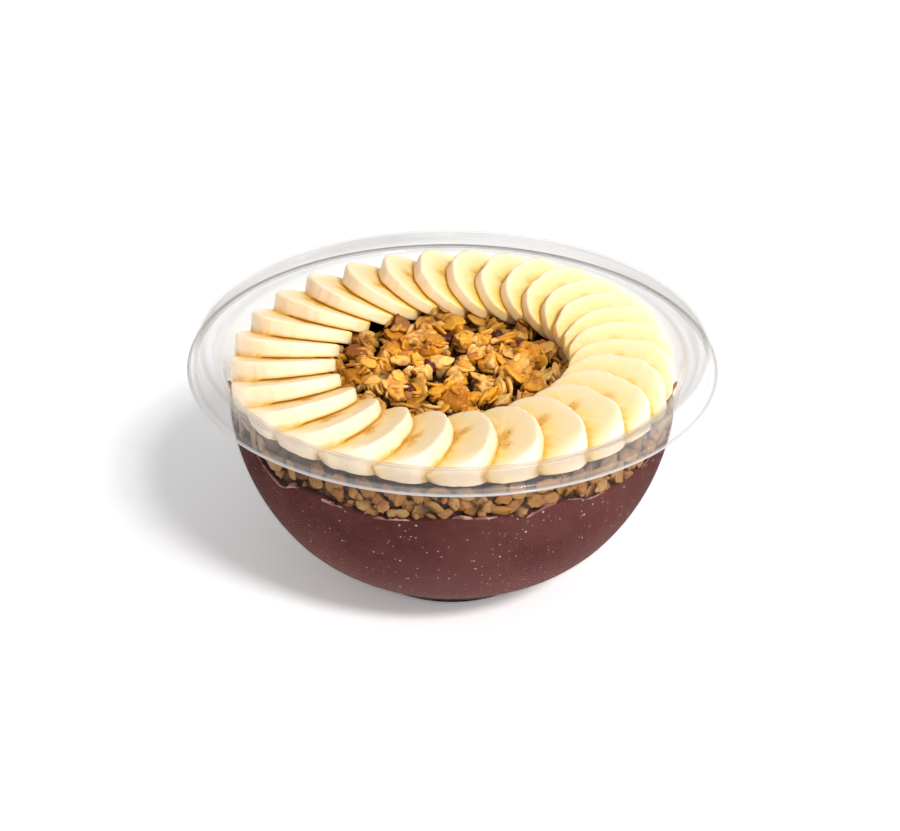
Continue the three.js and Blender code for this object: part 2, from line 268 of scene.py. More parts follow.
# %% A material with its nodes
class Finish:
    def __init__(self, name):
        self.material = bpy.data.materials.new(name)
        self.material.use_nodes = True
        self.nodes = self.material.node_tree.nodes
        self.links = self.material.node_tree.links
        self.nodes.clear()

    def node(self, kind, settings=None, output=0, **sockets):
        """A node. A socket goes by its name, or by at and its number."""
        made = self.nodes.new("ShaderNode" + kind)
        for name, value in (settings or {}).items():
            setattr(made, name, value)
        for name, value in sockets.items():
            numbered = name.startswith("at") and name[2:].isdigit()
            key = int(name[2:]) if numbered else name.replace("_", " ")
            connect(self, made.inputs[key], value)
        return Signal(self, made.outputs[output])

    def use_range(self, value, low, high):
        kind = {"interpolation_type": "SMOOTHSTEP"}
        return self.node("MapRange", kind, Value=value, From_Min=low, From_Max=high)

    def blend(self, share, first, second):
        kind = {"data_type": "RGBA"}
        return self.node("Mix", kind, output=2, at0=share, at6=first, at7=second)

    def place(self):
        return self.node("TexCoord", output=3)

    def along(self, axis, place):
        return self.node("SeparateXYZ", output="XYZ".index(axis), Vector=place)

    def painted(self, name):
        """The number that paint() gave to each point."""
        return self.node("Attribute", {"attribute_name": name}, output=2)

    def noise(self, scale, place, detail=2, roughness=0.5):
        return self.node("TexNoise", Vector=place, Scale=scale, Detail=detail, Roughness=roughness)

    def show(self, surface):
        output = self.nodes.new("ShaderNodeOutputMaterial")
        connect(self, output.inputs["Surface"], surface)
        print(self.material.name, "finish:", len(self.nodes), "nodes")
        return self.material

    def show_plain(self, **sockets):
        return self.show(self.node("BsdfPrincipled", **sockets))


def colour(red, green, blue):
    return (red, green, blue, 1)


# %% [markdown]
# ## Light and floor
#
# The bowl stands on a plain white table under a large lamp in front and to the right, so
# its soft grey shadow falls to the left and behind. A sun lamp with a wide disc gives
# that shadow everywhere alike. A weaker and wider one low on the right brightens that
# side, and a white sky fills the rest. The table glows a little, which keeps it white
# without more light on the food.

# %% Light and floor
LAMPS = (  # name, where from, strength, disc in degrees
    ("lamp", (0.41, -0.58, 0.70), 2.85, 10), ("side_lamp", (0.90, -0.32, 0.26), 1.15, 40))
WHITE = colour(1, 1, 1)
SKY_STRENGTH = 0.55
TABLE_WHITE = colour(0.80, 0.80, 0.80)
TABLE_GLOW = 0.22
FLOOR_REACH = 3

scene = bpy.context.scene
scene.view_settings.view_transform = "Standard"
scene.view_settings.look = "None"

world = bpy.data.worlds.new("studio")
world.use_nodes = True
sky = world.node_tree.nodes["Background"].inputs
sky["Color"].default_value = WHITE
sky["Strength"].default_value = SKY_STRENGTH
scene.world = world

for name, comes_from, strength, disc in LAMPS:
    lamp_data = bpy.data.lights.new(name, "SUN")
    lamp_data.energy = strength
    lamp_data.angle = math.radians(disc)
    lamp = bpy.data.objects.new(name, lamp_data)
    lamp.rotation_euler = (-Vector(comes_from)).to_track_quat("-Z", "Y").to_euler()
    scene.collection.objects.link(lamp)

finish = Finish("table_white")
table_white = finish.show_plain(
    Base_Color=TABLE_WHITE, Roughness=0.9, Emission_Color=WHITE, Emission_Strength=TABLE_GLOW)
floor_mesh = bpy.data.meshes.new("floor")
corners = [(x * FLOOR_REACH, y * FLOOR_REACH, 0) for x, y in ((-1, -1), (1, -1), (1, 1), (-1, 1))]
floor_mesh.from_pydata(corners, [], [(0, 1, 2, 3)])
floor_mesh.materials.append(table_white)
floor = bpy.data.objects.new("floor", floor_mesh)
scene.collection.objects.link(floor)
print("floor", 2 * FLOOR_REACH, "m square")

# %% [markdown]
# ## Clear plastic
#
# Thin clear film bends light so little that it needs no glass shader, which would be slow
# and grainy. Most light goes straight through a faintly grey Transparent shader, and
# through a greyer one, in streaks round the rim, where the rim flares. A glossy milky
# shader is mixed in, and takes over where the wall is seen edge on, which draws the grey
# lines along the bends of the rim.
# More of it is painted in along the bends and at the cut edge of the lip, as white highlights.

# %% Clear plastic
CLEAR_TINT = colour(0.968, 0.964, 0.960)
FLARE_TINT = colour(0.83, 0.825, 0.82)
SKIN_GREY = colour(0.57, 0.555, 0.54)
BODY_HAZE = 0.004
RIM_HAZE = 0.025
BODY_SHEEN = 0.17
RIM_SHEEN = 0.62
STREAKS_ROUND = 16  # fineness of the streaks along the rim
STREAKS_ACROSS = 420  # and across it
STREAK_LEAST = 0.35  # grey between the streaks, as a share

finish = Finish("clear_plastic")
edge_on = finish.node("LayerWeight", output=1, Blend=0.30)
rim = finish.painted("rim")
bend_highlight = finish.painted("bend_highlight")
flare = finish.painted("flare")
place = finish.place()
x = finish.along("X", place)
y = finish.along("Y", place)
round_the_rim = finish.node(
    "CombineXYZ", X=x * STREAKS_ROUND, Y=y * STREAKS_ROUND,
    Z=(x * x + y * y) ** 0.5 * STREAKS_ACROSS)
streaks = finish.noise(1.0, round_the_rim, detail=3).between(0.35, 0.65)
clear = finish.node("BsdfTransparent", Color=CLEAR_TINT)
grey = finish.node("BsdfTransparent", Color=FLARE_TINT)
greyness = flare * (STREAK_LEAST + streaks * (1 - STREAK_LEAST))
through = finish.node("MixShader", Fac=greyness, at1=clear, at2=grey)
skin = finish.node("BsdfPrincipled", Base_Color=SKIN_GREY, Roughness=0.08)
body_share = BODY_HAZE + edge_on ** 4 * BODY_SHEEN
rim_share = RIM_HAZE + edge_on ** 2 * RIM_SHEEN
# Painted highlights: more of the milky skin along the bends of the rim and at the lip.
share = body_share * (1 - rim) + rim_share * rim + bend_highlight
clear_plastic = finish.show(finish.node("MixShader", Fac=share, at1=through, at2=skin))


# %% [markdown]
# ## The bowl
#
# A vacuum formed bowl is one sheet of plastic, so its section is one line with the sheet's
# thickness to both sides. The line is drawn here with round bends, offset to both sides
# and turned about the axis, which is how a lathe or the Screw modifier would make it.

# %% Round a bend of a line
def rounded(before, corner, after, radius, steps):
    start = (Vector(before) - Vector(corner)).normalized() * radius + Vector(corner)
    end = (Vector(after) - Vector(corner)).normalized() * radius + Vector(corner)
    middle = Vector(corner)
    line = []
    for i in range(steps + 1):
        t = i / steps
        line.append(start * (1 - t) ** 2 + middle * 2 * t * (1 - t) + end * t ** 2)
    return line


# %% The middle of the sheet from the base to the lip
BALL_STEPS = 40
BEND_STEPS = 5
BASE_RADIUS = 14  # any point on the flat base
FOOT_BEND = 0.7
FLANK_BEND = 6
BLEND_STEPS = 6  # points of the ball that the bend above the flank replaces
sheet_radius = BODY_RADIUS - WALL / 2
ball_from = math.acos((BODY_CENTRE - BALL_FROM) / sheet_radius)
ball_to = math.acos((BODY_CENTRE - BODY_TOP) / sheet_radius)
ball = []
for i in range(BALL_STEPS + 1):
    dip = ball_from + (ball_to - ball_from) * i / BALL_STEPS
    ball.append(Vector((sheet_radius * math.sin(dip), BODY_CENTRE - sheet_radius * math.cos(dip))))
foot = [
    (BASE_RADIUS, WALL / 2), (FOOT_RADIUS, WALL / 2), (FOOT_RADIUS, FOOT_HEIGHT), tuple(ball[0])]
rim_line = [tuple(ball[-1]), SHOULDER, CREST, SKIRT_FOOT, LIP]
sheet = [Vector((0, WALL / 2)), Vector(foot[0])]
for before, corner, after in zip(foot, foot[1:], foot[2:]):
    sheet += rounded(before, corner, after, FOOT_BEND, BEND_STEPS)
sheet += rounded(foot[2], ball[0], ball[BLEND_STEPS], FLANK_BEND, BEND_STEPS)
sheet += ball[BLEND_STEPS:]
for before, corner, after in zip(rim_line, rim_line[1:], rim_line[2:]):
    sheet += rounded(before, corner, after, RIM_BEND, BEND_STEPS)
sheet.append(Vector(LIP))
print("section of the bowl:", len(sheet), "points")


# %% Offset the line to both sides and turn it about the axis
def offset(line, distance):
    moved = []
    for i, point in enumerate(line):
        along = (line[min(i + 1, len(line) - 1)] - line[max(i - 1, 0)]).normalized()
        moved.append(point + Vector((along.y, -along.x)) * distance)
    return moved


def turned(section, segments):
    """A closed body from a section that starts and ends on the axis."""
    rings = section[1:-1]
    points = [Vector((0, 0, section[0][1]))]
    for radius, height in rings:
        points += [polar(radius, TURN * k / segments, height) for k in range(segments)]
    points.append(Vector((0, 0, section[-1][1])))
    return points, ring_faces(len(rings), segments)


BOWL_SEGMENTS = 192
LIP_ROUND = 0.28
outside = offset(sheet, WALL / 2)
inside = offset(sheet, -WALL / 2)
lip_end = []
for step in range(1, BEND_STEPS):
    turn = math.pi * (step / BEND_STEPS - 0.5)
    lip_end.append(Vector(LIP) + Vector((math.cos(turn) * LIP_ROUND, math.sin(turn) * WALL / 2)))
section = outside + lip_end + inside[::-1]
points, faces = turned([tuple(p) for p in section], BOWL_SEGMENTS)
bowl = piece("clear_bowl", points, faces, clear_plastic, replaces=["bowl"])

# %% Paint where the plastic looks whiter or greyer, with painted highlights along its bends
RIM_HEIGHTS = (66, 71)  # the body's clear wall turns into the hazier rim
# painted highlights along the bends of the sheet and at the cut edge of the lip
BEND_HIGHLIGHTS = (  # where, how wide in mm, and how white
    (LIP, 0.5, 0.9), (SKIRT_FOOT, 0.6, 0.25), (CREST, 0.8, 0.2), (SHOULDER, 0.7, 0.14))
FLARE_FROM = (SHOULDER[1] - 2.7, SHOULDER[1] + 0.3)
FLARE_TO = (CREST[0] - 1.2, CREST[0] - 0.2)


def painted_bend_highlight(point):
    """Painted highlight: how white the sheet is drawn where a bend or the cut edge would gather
    light.
    """
    radius = math.hypot(point[0], point[1])
    light = 0
    for (at_radius, at_height), reach, strength in BEND_HIGHLIGHTS:
        off = math.hypot(radius - at_radius, point[2] - at_height) / reach
        light += strength * math.exp(-off * off)
    return light


def in_flare(point):
    """Between the shoulder and the crest the drawn sheet is rippled and looks greyer."""
    outer = 1 - smoothstep(math.hypot(point[0], point[1]), *FLARE_TO)
    return outer * smoothstep(point[2], *FLARE_FROM)


paint(bowl, "rim", [smoothstep(p[2], *RIM_HEIGHTS) for p in points])
paint(bowl, "bend_highlight", [painted_bend_highlight(p) for p in points])
paint(bowl, "flare", [in_flare(p) for p in points])
print("painted", len(points), "points of the bowl")

# %% [markdown]
# ## Acai
#
# Acai puree is a thick brown purple paste. It wets the plastic, so no air shows between
# them: the body here reaches a little into the wall. Fine pale specks of pulp and air
# bubbles show everywhere, and the colour is cloudy rather than even. The specks are cells
# of a Voronoi pattern, and only cells with a lucky colour show one.

# %% Acai finish
ACAI_DARK = colour(0.073, 0.023, 0.020)
ACAI_LIGHT = colour(0.106, 0.037, 0.033)
# painted light: the puree is drawn paler towards the base, as if lit from the white table below
ACAI_LIT_FROM_BELOW = colour(0.225, 0.100, 0.092)
LIT_FROM_BELOW_SHARE = 0.75  # the puree looks paler towards the base
LIT_FROM_BELOW_HEIGHTS = (2 * MM, 46 * MM)
# painted shade: the puree in the foot, under the ball of the bowl, is drawn near black
ACAI_FOOT_SHADE = colour(0.012, 0.003, 0.003)
FOOT_SHADE_FADE = 1.2
SPECK = colour(0.60, 0.42, 0.37)
SPECK_SHARE = 0.9
SPECKS = ((420, 0.60), (640, 0.45))  # fineness, and the least draw that shows one

finish = Finish("acai_puree")
place = finish.place()
cloud = finish.noise(38, place, detail=4)
fine = finish.noise(420, place, detail=3)
body_colour = finish.blend((cloud * 0.7 + fine * 0.3).between(0.36, 0.66), ACAI_DARK, ACAI_LIGHT)
height = finish.along("Z", place)
lit_from_below = LIT_FROM_BELOW_SHARE - height.between(*LIT_FROM_BELOW_HEIGHTS) * LIT_FROM_BELOW_SHARE
skin_colour = finish.blend(lit_from_below, body_colour, ACAI_LIT_FROM_BELOW)
for scale, least in SPECKS:
    cells = finish.node("TexVoronoi", Vector=place, Scale=scale)
    cell_draw = finish.node("TexVoronoi", output=1, Vector=place, Scale=scale)
    lucky = finish.node("SeparateColor", Color=cell_draw).between(least, least + 0.3)
    speck = (1 - cells.between(0.07, 0.18)) * lucky
    skin_colour = finish.blend(speck * SPECK_SHARE, skin_colour, SPECK)
# Painted shade in the foot, where little light gets under the bowl.
foot_shade = 1 - height.between(FOOT_HEIGHT * MM, (FOOT_HEIGHT + FOOT_SHADE_FADE) * MM)
skin_colour = finish.blend(foot_shade, skin_colour, ACAI_FOOT_SHADE)
acai_puree = finish.show_plain(Base_Color=skin_colour, Roughness=0.5, Specular_IOR_Level=0.0)

# %% [markdown]
# The body could be turned on the axis like the bowl, but its edge on the wall waves. So
# the rows above a certain height are spaced evenly up to that edge at each angle.

# %% The body of acai, up to its wavy edge on the wall
INTO_WALL = 0.2
ACAI_SEGMENTS = 240
EDGE_FROM = 46  # below this height the body is round, above it runs up to the wavy edge
EDGE_ROWS = 8
ACAI_TOP_RINGS = (62, 55, 45, 30, 15)
SURFACE_SAG = 0.9
SAG_RADII = (45, 66)
TONGUES = ((9, 0.9), (21, 0.5))  # fineness and height in mm


def acai_rim(angle):
    """Height of the acai's edge on the wall, with small tongues that the granola pressed up."""
    spot = Vector((math.cos(angle), math.sin(angle), 0.3))
    return acai_edge(angle) + bumps(spot, TONGUES)


angles = [TURN * k / ACAI_SEGMENTS for k in range(ACAI_SEGMENTS)]
round_rows = [p for p in offset(sheet, INTO_WALL - WALL / 2)[1:] if p[0] > 1 and p[1] < EDGE_FROM]
points = [Vector((0, 0, WALL - INTO_WALL))]
for radius, height in round_rows:
    points += [polar(radius, angle, height) for angle in angles]
for row in range(EDGE_ROWS + 1):
    for angle in angles:
        height = EDGE_FROM + (acai_rim(angle) - EDGE_FROM) * row / EDGE_ROWS
        points.append(polar(inner_wall(height) + INTO_WALL, angle, height))
for radius in ACAI_TOP_RINGS:
    height = ACAI_LEVEL - SURFACE_SAG * smoothstep(radius, *SAG_RADII)
    points += [polar(radius, angle, height) for angle in angles]
points.append(Vector((0, 0, ACAI_LEVEL)))
rows = len(round_rows) + EDGE_ROWS + 1 + len(ACAI_TOP_RINGS)
piece("acai_puree", points, ring_faces(rows, ACAI_SEGMENTS), acai_puree, replaces=["acai"])

# %% [markdown]
# Above its edge the acai has left thin pinkish smears on the inside of the wall, where
# the bowl was filled and granola slid down. Each is a thin patch with a ragged top.

# %% Smears of acai on the wall
SMEAR_THIN = colour(0.17, 0.055, 0.045)
SMEAR_PALE = colour(0.46, 0.25, 0.21)
SMEARS = 22
SMEAR_WIDTH = (4, 15)
SMEAR_HEIGHT = (0.7, 2.2)
SMEAR_LEAST = 0.02
SMEAR_STEP = 0.4  # mm along the wall
SMEAR_DEPTH = 0.3
SMEAR_OVERLAP = 0.6  # mm down over the acai's edge
SMEAR_INTO_WALL = INTO_WALL * 0.8
SMEAR_RAGS = ((22, 0.8, 0.5), (80, 0.5, 2))  # fineness, height as a share, and layer of noise
STRIP = (  # faces between two columns of six points
    (0, 6, 8, 2), (1, 3, 9, 7), (2, 8, 10, 4), (3, 5, 11, 9), (0, 1, 7, 6), (4, 10, 11, 5))
STRIP_END = ((0, 2, 3, 1), (2, 4, 5, 3))

finish = Finish("acai_smear")
cloud = finish.noise(220, finish.place(), detail=4)
smear_colour = finish.blend(cloud.between(0.42, 0.68), SMEAR_THIN, SMEAR_PALE)
acai_smear = finish.show_plain(Base_Color=smear_colour, Roughness=0.4)

draw = random.Random(5)
points = []
faces = []
for i in range(SMEARS):
    middle = TURN * (i + draw.uniform(-0.4, 0.4)) / SMEARS
    width = draw.uniform(*SMEAR_WIDTH)
    height = draw.uniform(*SMEAR_HEIGHT)
    columns = max(6, int(width / SMEAR_STEP))
    first = len(points)
    for c in range(columns + 1):
        along = c / columns * 2 - 1
        angle = middle + along * width / 2 / BODY_RADIUS
        ragged = 0.5
        for fineness, share, layer in SMEAR_RAGS:
            ragged += share * noise.noise(Vector((angle * fineness, i, layer)))
        rise = max(height * math.sqrt(max(1 - along * along, 0)) * ragged, SMEAR_LEAST)
        low = acai_rim(angle) - SMEAR_OVERLAP
        high = acai_rim(angle) + rise
        for level in (low, (low + high) / 2, high):
            outer = inner_wall(level) + SMEAR_INTO_WALL
            points.append(polar(outer, angle, level))
            points.append(polar(outer - SMEAR_DEPTH - INTO_WALL, angle, level))
    for c in range(columns):
        faces += [tuple(first + c * 6 + v for v in face) for face in STRIP]
    faces += [tuple(first + v for v in face) for face in STRIP_END]
    faces += [tuple(first + columns * 6 + v for v in face[::-1]) for face in STRIP_END]
piece("acai_smears", points, faces, acai_smear)

# %% [markdown]
# ## Banana slices
#
# Each slice is a thick disc cut at a slight slant from a ripe banana, so it is a little
# longer than it is wide. It lies on the next slice and leans on it all the way round, and
# because the ring is tighter inside than outside, it is thinner at its inner end and
# twisted a little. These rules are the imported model's; the outline and edge are finer.
# A thickened oval would be quicker, but even discs look cut by a machine, so each ring of
# points is placed by these rules.

# %% Sizes of the ring and its slices
SLICE_LENGTH = 32.4
SLICE_WIDTH = 25.8
SLICE_THICKNESS = 4.6
SLICE_TAPER = 0.07
SLICE_GAP = 0.6
SLICE_UNEVEN = 0.02
SLICE_CORNERS = 0.012
SLICE_FOOT = 60.6
RING_RADIUS = 51.4
RING_SHIFT = 0.6
RING_SHIFT_TOWARDS = math.radians(130)
RING_START = -108
RING_SWAY = 8
RING_SWAY_FROM = 4
PARALLEL_AT = math.radians(180)
PARALLEL_REACH = math.radians(32)
PARALLEL_SHARE = 0.6


# %% Where a slice stands and how it leans
def slice_azimuth(k):
    sway = RING_SWAY * math.cos(TURN * (k - RING_SWAY_FROM) / SLICES)
    return math.radians(RING_START + 360 * k / SLICES + sway)


def slice_pitch(k):
    return slice_azimuth(k + 0.5) - slice_azimuth(k - 0.5)


def slice_depth(reach):
    return SLICE_THICKNESS + SLICE_TAPER * (reach - RING_RADIUS)


def slice_lean(reach, pitch):
    return math.asin((slice_depth(reach) + SLICE_GAP) / (reach * pitch))


def slice_place(k):
    azimuth = slice_azimuth(k)
    lean = slice_lean(RING_RADIUS, slice_pitch(k))
    out = Vector((math.cos(azimuth), math.sin(azimuth), 0))
    along = Vector((-math.sin(azimuth), math.cos(azimuth), 0))
    across = along * math.cos(lean) + UP * math.sin(lean)
    face = out.cross(across)
    aside = wrapped(azimuth - PARALLEL_AT)
    in_plane = -PARALLEL_SHARE * aside * math.exp(-((aside / PARALLEL_REACH) ** 2))
    axes = Matrix((out, across, face)).transposed() @ Matrix.Rotation(in_plane, 3, "Z")
    shift = polar(RING_SHIFT, RING_SHIFT_TOWARDS, 0)
    height = SLICE_FOOT + SLICE_WIDTH / 2 * math.sin(lean) + SLICE_THICKNESS / 2 * math.cos(lean)
    centre = out * RING_RADIUS + shift + UP * height
    return Matrix.Translation(centre * MM) @ axes.to_4x4()


# %% The outline of a slice
BLUNT = 2.7  # the outer end is squashed by the wall: 2 is an ellipse, more is blunter
OUTLINE_RAGS = ((1.9, 0.7), (7.5, 0.36))  # fineness, and depth in mm: sways and nicks


def outline_reach(turn, half_length, half_width):
    power = BLUNT if math.cos(turn) > 0 else 2
    across = abs(math.cos(turn) / half_length) ** power + abs(math.sin(turn) / half_width) ** power
    return across ** (-1 / power)


def ragged(turn, k):
    """How far a soft ripe slice's outline strays from an oval, in mm."""
    return bumps(Vector((math.cos(turn), math.sin(turn), k * 1.7)), OUTLINE_RAGS)


# %% A whole slice
SLICE_SWELL = 0.5  # slices press on each other, so the gap between them closes
SETTLE_FROM = 5  # from the middle of a slice outwards, the underside sags to one level
SETTLE_FULL = 12
SETTLE_LEVEL = 65.0
SLICE_POINTS = 88
FACE_RINGS = (0.12, 0.3, 0.5, 0.68, 0.82, 0.92)
EDGE_ROUND = ((0.975, 0.97), (0.993, 0.86), (1.0, 0.66), (1.0, 0.2))  # reach and height, as shares
LEVELS = [(share, 1.0) for share in FACE_RINGS] + list(EDGE_ROUND)
DISH_DEPTH = 0.10  # the soft middle of each face is a little sunk
DISH_SPREAD = 16
FACE_LUMPS = 0.08
FACE_FINENESS = 0.12


def face_sunk(x, y, k):
    """How far a face is sunk at a point, in mm."""
    spot = Vector((x * FACE_FINENESS, y * FACE_FINENESS, k * 3.1))
    dish = DISH_DEPTH * math.exp(-(x * x + y * y) / DISH_SPREAD)
    return dish + FACE_LUMPS * (1 + noise.noise(spot * 3))


def banana_slice(k):
    draw = random.Random(100 + k)
    half_length = SLICE_LENGTH / 2 * (1 + SLICE_UNEVEN * draw.uniform(-1, 1))
    half_width = SLICE_WIDTH / 2 * (1 + SLICE_UNEVEN * draw.uniform(-1, 1))
    phase = draw.uniform(0, TURN)
    pitch = slice_pitch(k)
    place = slice_place(k)
    up_here = place.to_3x3().inverted() @ UP
    flat = [(0, 0, 1, 0)]
    for side in (1, -1):
        for share, high in LEVELS[::side]:
            for i in range(SLICE_POINTS):
                turn = TURN * i / SLICE_POINTS
                corners = 1 + SLICE_CORNERS * (math.cos(3 * turn + phase) - 1)
                out = outline_reach(turn, half_length, half_width) * corners + ragged(turn, k)
                x = out * share * math.cos(turn)
                y = out * share * math.sin(turn)
                flat.append((x, y, side * high, share))
    flat.append((0, 0, -1, 0))
    points = []
    for x, y, high, share in flat:
        reach = RING_RADIUS + x
        twist = slice_lean(reach, pitch) - slice_lean(RING_RADIUS, pitch)
        half = (slice_depth(reach) + SLICE_SWELL) / 2 - face_sunk(x, y, k)
        turned_by = Matrix.Rotation(twist, 3, "X")
        top = turned_by @ Vector((x, y, half))
        bottom = turned_by @ Vector((x, y, -half))
        drop = SETTLE_LEVEL - (place @ (bottom * MM)).z / MM
        bottom += up_here * drop * smoothstep(x, SETTLE_FROM, SETTLE_FULL)
        points.append(bottom.lerp(top, (high + 1) / 2))
    faces = ring_faces(2 * len(LEVELS), SLICE_POINTS, downwards=True)
    return points, faces, [share for x, y, high, share in flat]


# %% [markdown]
# Banana flesh is nearly white at the cut edge and cream yellow inside. Near the middle
# three pale lobes meet round a golden heart with a few brown seed specks, and fine lines
# run outwards from it. The flesh lets light in, so where two slices touch the shadow is
# golden, not grey: Subsurface gives part of that, and the rest is painted from the
# distance to the neighbouring slices. The light that the clear rim throws on the outer
# ends is a faint glow here, because this plastic doesn't bend light.
# A face is also painted warmer yellow near the slice that lies over it, as shade.

# %% Banana colours and sizes, in metres
FLESH_EDGE = colour(0.93, 0.72, 0.49)
FLESH = colour(0.92, 0.71, 0.40)
# painted shade: warmer yellow on a face near the slice that lies over it
FLESH_SHADED_WARM = colour(0.89, 0.59, 0.12)
HEART = colour(0.70, 0.33, 0.015)
SEED = colour(0.27, 0.10, 0.01)
# painted golden shadow and glow where slices touch
CONTACT = colour(0.66, 0.36, 0.02)
CONTACT_GLOW = colour(0.10, 0.06, 0.004)
OUTER_GLOW = colour(0.17, 0.17, 0.16)
NO_GLOW = colour(0, 0, 0)
OUTER_END = (0.009, 0.0155)
HEART_OUT = 0.0018  # from the middle towards the side that shows
HEART_STRAY = 0.006
LOBES = 3
LOBE_REACH = 0.0042
LOBE_DEPTH = 0.0018
LIGHT_DEPTHS = (0.0025, 0.0021, 0.0010)  # how far red, green and blue light go in
GRAIN_DEPTH = 0.0005

# %% Banana finish
finish = Finish("banana_flesh")
place = finish.place()
tone = finish.painted("tone")
share_out = finish.painted("reach")
contact = finish.painted("contact")
shelter_shade = finish.painted("painted_shelter_shade")
x = finish.along("X", place) - (tone - 0.5) * HEART_STRAY
y = finish.along("Y", place) - HEART_OUT
turn = x.math("ARCTAN2", y, x)
out = (x * x + y * y) ** 0.5
blotch = finish.noise(170, place, detail=3)
ray_angle = finish.node("CombineXYZ", X=turn * 4, Y=out * 60, Z=tone * 9)
rays = finish.noise(1.6, ray_angle, detail=3)
wave = x.math("COSINE", turn * LOBES + tone * 6)
to_lobe = out / (LOBE_REACH + LOBE_DEPTH * wave)
heart = (1 - to_lobe.between(0.25, 1.2)) * (blotch * 0.5 + rays * 0.6).between(0.33, 0.55)
seeds = finish.node("TexVoronoi", Vector=place, Scale=560)
seed = (1 - seeds.between(0.16, 0.34)) * (1 - to_lobe.between(0.45, 0.95))
to_edge = (share_out + blotch * 0.10 - 0.05).between(0.80, 0.95)
flesh = finish.blend(to_edge, FLESH, FLESH_EDGE)
pale_rays = (rays * 0.55 + blotch * 0.4).between(0.40, 0.62)
flesh = finish.blend((1 - to_edge) * pale_rays * 0.25, flesh, FLESH_EDGE)
# Painted shade: the face turns warmer yellow towards the slice lying over it.
warm_shade = shelter_shade * (blotch * 0.6 + rays * 0.4).between(0.30, 0.62)
flesh = finish.blend(warm_shade * 0.85, flesh, FLESH_SHADED_WARM)
flesh = finish.blend(heart * 0.95, flesh, HEART)
flesh = finish.blend(seed * 0.85, flesh, SEED)
# Painted golden shadow and glow where a slice touches its neighbours.
touching = contact * (0.65 + blotch * 0.7).between(0.55, 1.2)
flesh = finish.blend(touching, flesh, CONTACT)
glow = finish.blend(touching, NO_GLOW, CONTACT_GLOW)
outer_end = finish.along("X", place).between(*OUTER_END)
glow = finish.blend(outer_end * (1 - touching), glow, OUTER_GLOW)
grain = blotch * 0.5 + rays * 0.5 + finish.noise(900, place) * 0.25
bump = finish.node("Bump", Strength=0.5, Distance=GRAIN_DEPTH, Height=grain)
banana_flesh = finish.show_plain(
    Base_Color=flesh, Roughness=0.42, Emission_Color=glow, Emission_Strength=1.0, Normal=bump,
    Subsurface_Weight=0.4, Subsurface_Radius=LIGHT_DEPTHS, Subsurface_Scale=1.0)

# %% Make the ring
CONTACT_GAPS = (0.4, 1.8)  # mm from touching to clear of it
SHELTER_SHADE_FAR = 8
shapes = [banana_slice(k) for k in range(SLICES)]
places = [slice_place(k) for k in range(SLICES)]
in_ring = []
for (points, faces, reach), place in zip(shapes, places):
    world_points = [place @ (p * MM) for p in points]
    in_ring.append((world_points, BVHTree.FromPolygons(world_points, faces)))
for k in range(SLICES):
    points, faces, reach = shapes[k]
    obj = piece(
        "banana_slice_%02d" % (k + 1), points, faces, banana_flesh,
        replaces=["banana_%02d" % (k + 1)], place=places[k])
    under, over = in_ring[(k + 1) % SLICES][1], in_ring[(k - 1) % SLICES][1]
    near = []
    painted_shelter_shade = []
    for spot in in_ring[k][0]:
        to_over = over.find_nearest(spot)[3] / MM
        gap = min(under.find_nearest(spot)[3] / MM, to_over)
        near.append((1 - smoothstep(gap, *CONTACT_GAPS)) ** 1.5)
        # painted shade, fading with the distance to the slice lying over it
        painted_shelter_shade.append(1 - smoothstep(to_over, 0, SHELTER_SHADE_FAR))
    paint(obj, "contact", near)
    paint(obj, "painted_shelter_shade", painted_shelter_shade)
    paint(obj, "reach", reach)
    paint(obj, "tone", [random.Random(k).random()] * len(points))

# %% [markdown]
# ## Granola
#
# Toasted oats, baked with syrup into crisp clusters, lie on the acai. What shows is the
# top few millimetres of the heap, and the pieces pressed on the wall. They lie on a dark
# core, which is the shade between them, and each kind of piece is one mesh: flakes,
# clusters, crumbs and a few bits of dried fruit. Dropping them in a simulation would take
# minutes and settle anew after each change, so they are laid by rule. A piece is painted
# darker where it is deep between the others, because little light gets down there.

# %% Granola finishes
CREVICE = colour(0.045, 0.014, 0.004)
ACAI_FILM = colour(0.30, 0.15, 0.11)  # on the pieces at the wall
FILM_SHARE = 0.45
CRUST_DEPTH = 0.0008  # metres
TOASTED = (  # name, pale, golden and brown, and roughness
    ("toasted_oat", (0.95, 0.56, 0.15), (0.86, 0.39, 0.025), (0.42, 0.12, 0.008), 0.42),
    ("glazed_cluster", (0.92, 0.49, 0.13), (0.78, 0.31, 0.02), (0.32, 0.08, 0.006), 0.32),
    ("pale_crumb", (0.92, 0.54, 0.18), (0.76, 0.35, 0.05), (0.34, 0.10, 0.012), 0.45),
    ("dried_fruit", (0.16, 0.015, 0.012), (0.10, 0.008, 0.006), (0.04, 0.004, 0.003), 0.25))


def oat_finish(name, pale, golden, brown, roughness):
    finish = Finish(name)
    place = finish.place()
    tone = finish.painted("tone")
    shade = finish.painted("shade")
    mottle = finish.noise(420, place, detail=5, roughness=0.65)
    patches = finish.noise(150, place)
    mix = finish.blend(tone.between(0, 0.6), colour(*pale), colour(*golden))
    mix = finish.blend(tone.between(0.7, 1.1), mix, colour(*brown))
    browned = (patches * 0.6 + mottle * 0.4).between(0.50, 0.64)
    mix = finish.blend(browned * 0.65, mix, colour(*brown))
    mix = finish.blend(finish.painted("at_wall"), mix, ACAI_FILM)
    mix = finish.blend(shade, mix, CREVICE)
    bump = finish.node("Bump", Strength=0.8, Distance=CRUST_DEPTH, Height=mottle)
    return finish.show_plain(
        Base_Color=mix, Roughness=roughness, Specular_IOR_Level=0.3, Normal=bump)


toasted = [oat_finish(*row) for row in TOASTED]

